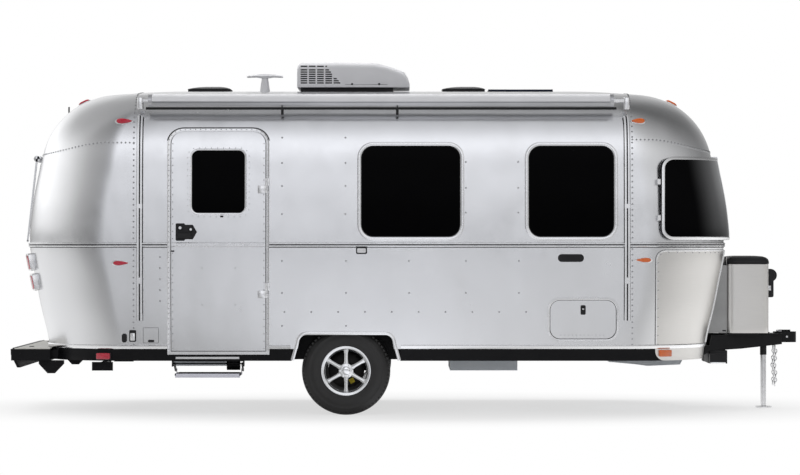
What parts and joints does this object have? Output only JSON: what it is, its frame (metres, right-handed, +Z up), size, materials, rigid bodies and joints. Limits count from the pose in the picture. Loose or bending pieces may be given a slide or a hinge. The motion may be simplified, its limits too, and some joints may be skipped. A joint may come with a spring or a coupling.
{
  "type": "travel caravan",
  "caption": "Single-axle riveted aluminium travel caravan with rounded ends, a side door, tinted front guards, an awning and a gas bottle cover on its A-frame tongue.",
  "frame": {"origin": "on the ground under the middle of the bounding box", "axes": "+X forward to the coupler, +Y to the street side, +Z up"},
  "size_m": [6.64, 2.5206, 2.954],
  "materials": {
    "polished_skin": "polished sheet with a soft brushed reflection",
    "bright_trim": "bright anodised extrusion",
    "awning_metal": "satin anodised tube and channel",
    "stainless": "brushed stainless sheet",
    "window_glass": "dark tinted glass",
    "guard_glass": "smoke-tinted shatterproof sheet",
    "black_steel": "satin black paint",
    "skirt_black": "black painted aluminium sheet",
    "black_plastic": "moulded black plastic",
    "tank_plastic": "pale moulded plastic",
    "white_plastic": "moulded white plastic",
    "lid_sheet": "pale painted sheet",
    "red_lens": "red lens",
    "amber_lens": "amber lens",
    "deck_board": "sealed plywood",
    "bottle_white": "white painted steel",
    "zinc": "bright zinc plate",
    "tyre": "ribbed road tread",
    "alloy": "machined alloy"
  },
  "bodies": {
    "trailer": {"side_wall_right": "polished_skin", "side_wall_left": "polished_skin", "roof_panel": "polished_skin", "end_cap_front": "polished_skin", "end_cap_rear": "polished_skin", "body_rails": "bright_trim", "wheel_arch_trims": "bright_trim", "opening_frames": "bright_trim", "guard_brackets": "bright_trim", "awning_rollers": "awning_metal", "awning_arms": "awning_metal", "corner_guards": "stainless", "gas_cover": "stainless", "window_panes": "window_glass", "frame_rails": "black_steel", "cross_members": "black_steel", "tongue_beams": "black_steel", "tongue_plates": "black_steel", "axle_beam": "black_steel", "coupler": "black_steel", "tongue_jack": "black_steel", "step_bracket": "black_steel", "stabiliser_hangers": "black_steel", "rear_bumper": "black_steel", "wheel_boxes": "black_steel", "belly_pan": "skirt_black", "body_skirt": "skirt_black", "battery_box": "black_plastic", "solar_panel": "black_plastic", "roof_bases": "black_plastic", "holding_tanks": "tank_plastic", "air_conditioner_cover": "white_plastic", "utility_fittings": "white_plastic", "red_lamps": "red_lens", "amber_lamps": "amber_lens", "floor_deck": "deck_board", "gas_bottles": "bottle_white", "safety_chains": "zinc"},
    "door": {"entrance_door": "polished_skin", "door_window": "window_glass", "door_handle": "black_plastic"},
    "hatch": {"storage_hatch": "polished_skin"},
    "guard_right": {"rock_guard_right": "guard_glass"},
    "guard_left": {"rock_guard_left": "guard_glass"},
    "guard_center": {"rock_guard_center": "guard_glass"},
    "gas_lid": {"gas_cover_lid": "black_plastic"},
    "trough_lid": {"bumper_lid": "lid_sheet"},
    "rear_vent": {"vent_lid_rear": "black_plastic"},
    "front_vent": {"vent_lid_front": "black_plastic"},
    "antenna": {"antenna_head": "white_plastic"},
    "jack_foot": {"jack_leg": "zinc"},
    "step_front_links": {"step_arms_front": "black_steel"},
    "step_rear_links": {"step_arms_rear": "black_steel"},
    "step_board": {"step_tread": "lid_sheet"},
    "leg_right": {"stabiliser_right": "black_steel"},
    "leg_left": {"stabiliser_left": "black_steel"},
    "road_wheel_right": {"tyre_right": "tyre", "wheel_right": "alloy"},
    "road_wheel_left": {"tyre_left": "tyre", "wheel_left": "alloy"}
  },
  "joints": [
    {"name": "door_swing", "type": "hinge", "parent": "trailer", "child": "door", "pos_m": [-1.19, -1.237, 1.4], "axis": [0, 0, 1], "range_deg": [0, 170]},
    {"name": "hatch_fold", "type": "hinge", "parent": "trailer", "child": "hatch", "pos_m": [1.4075, -1.214, 0.633], "axis": [1, 0, 0], "range_deg": [0, 120]},
    {"name": "guard_right_swing", "type": "hinge", "parent": "trailer", "child": "guard_right", "pos_m": [2.04, -1.262, 1.78], "axis": [0, 0, -1], "range_deg": [0, 90]},
    {"name": "guard_left_swing", "type": "hinge", "parent": "trailer", "child": "guard_left", "pos_m": [2.04, 1.262, 1.78], "axis": [0, 0, 1], "range_deg": [0, 90]},
    {"name": "guard_center_lift", "type": "hinge", "parent": "trailer", "child": "guard_center", "pos_m": [2.616, 0, 2.12], "axis": [0, -1, 0], "range_deg": [0, 80]},
    {"name": "gas_lid_lift", "type": "hinge", "parent": "trailer", "child": "gas_lid", "pos_m": [2.691, 0, 1.306], "axis": [0, -1, 0], "range_deg": [0, 55]},
    {"name": "trough_lid_lift", "type": "hinge", "parent": "trailer", "child": "trough_lid", "pos_m": [-3.2895, 0, 0.548], "axis": [0, -1, 0], "range_deg": [0, 100]},
    {"name": "rear_vent_lift", "type": "hinge", "parent": "trailer", "child": "rear_vent", "pos_m": [-1.539, 0, 2.7323], "axis": [0, 1, 0], "range_deg": [0, 70]},
    {"name": "front_vent_lift", "type": "hinge", "parent": "trailer", "child": "front_vent", "pos_m": [0.64, 0, 2.7323], "axis": [0, 1, 0], "range_deg": [0, 70]},
    {"name": "antenna_turn", "type": "hinge", "parent": "trailer", "child": "antenna", "pos_m": [-1.257, 0, 2.84], "axis": [0, 0, 1], "range_deg": [-180, 180]},
    {"name": "jack_travel", "type": "slide", "parent": "trailer", "child": "jack_foot", "axis": [0, 0, 1], "range_m": [-0.1, 0.25]},
    {"name": "step_swing", "type": "hinge", "parent": "trailer", "child": "step_front_links", "pos_m": [-1.671, -1.14, 0.425], "axis": [-1, 0, 0], "range_deg": [0, 116]},
    {"name": "step_rear_swing", "type": "hinge", "parent": "trailer", "child": "step_rear_links", "pos_m": [-1.671, -1.08, 0.425], "axis": [-1, 0, 0], "range_deg": [0, 116]},
    {"name": "step_board_level", "type": "hinge", "parent": "step_front_links", "child": "step_board", "pos_m": [-1.671, -0.98701, 0.36319], "axis": [-1, 0, 0], "range_deg": [-116, 0]},
    {"name": "leg_right_fold", "type": "hinge", "parent": "trailer", "child": "leg_right", "pos_m": [-2.562, -0.52, 0.41], "axis": [1, 0, 0], "range_deg": [0, 75]},
    {"name": "leg_left_fold", "type": "hinge", "parent": "trailer", "child": "leg_left", "pos_m": [-2.562, 0.52, 0.41], "axis": [-1, 0, 0], "range_deg": [0, 75]},
    {"name": "wheel_right_spin", "type": "hinge", "parent": "trailer", "child": "road_wheel_right", "pos_m": [-0.537, -1.027, 0.365], "axis": [0, 1, 0], "continuous": true},
    {"name": "wheel_left_spin", "type": "hinge", "parent": "trailer", "child": "road_wheel_left", "pos_m": [-0.537, 1.027, 0.365], "axis": [0, 1, 0], "continuous": true}
  ],
  "couplings": [
    {"joint": "step_rear_swing", "follows": "step_swing", "ratio": 1},
    {"joint": "step_board_level", "follows": "step_swing", "ratio": -1}
  ]
}
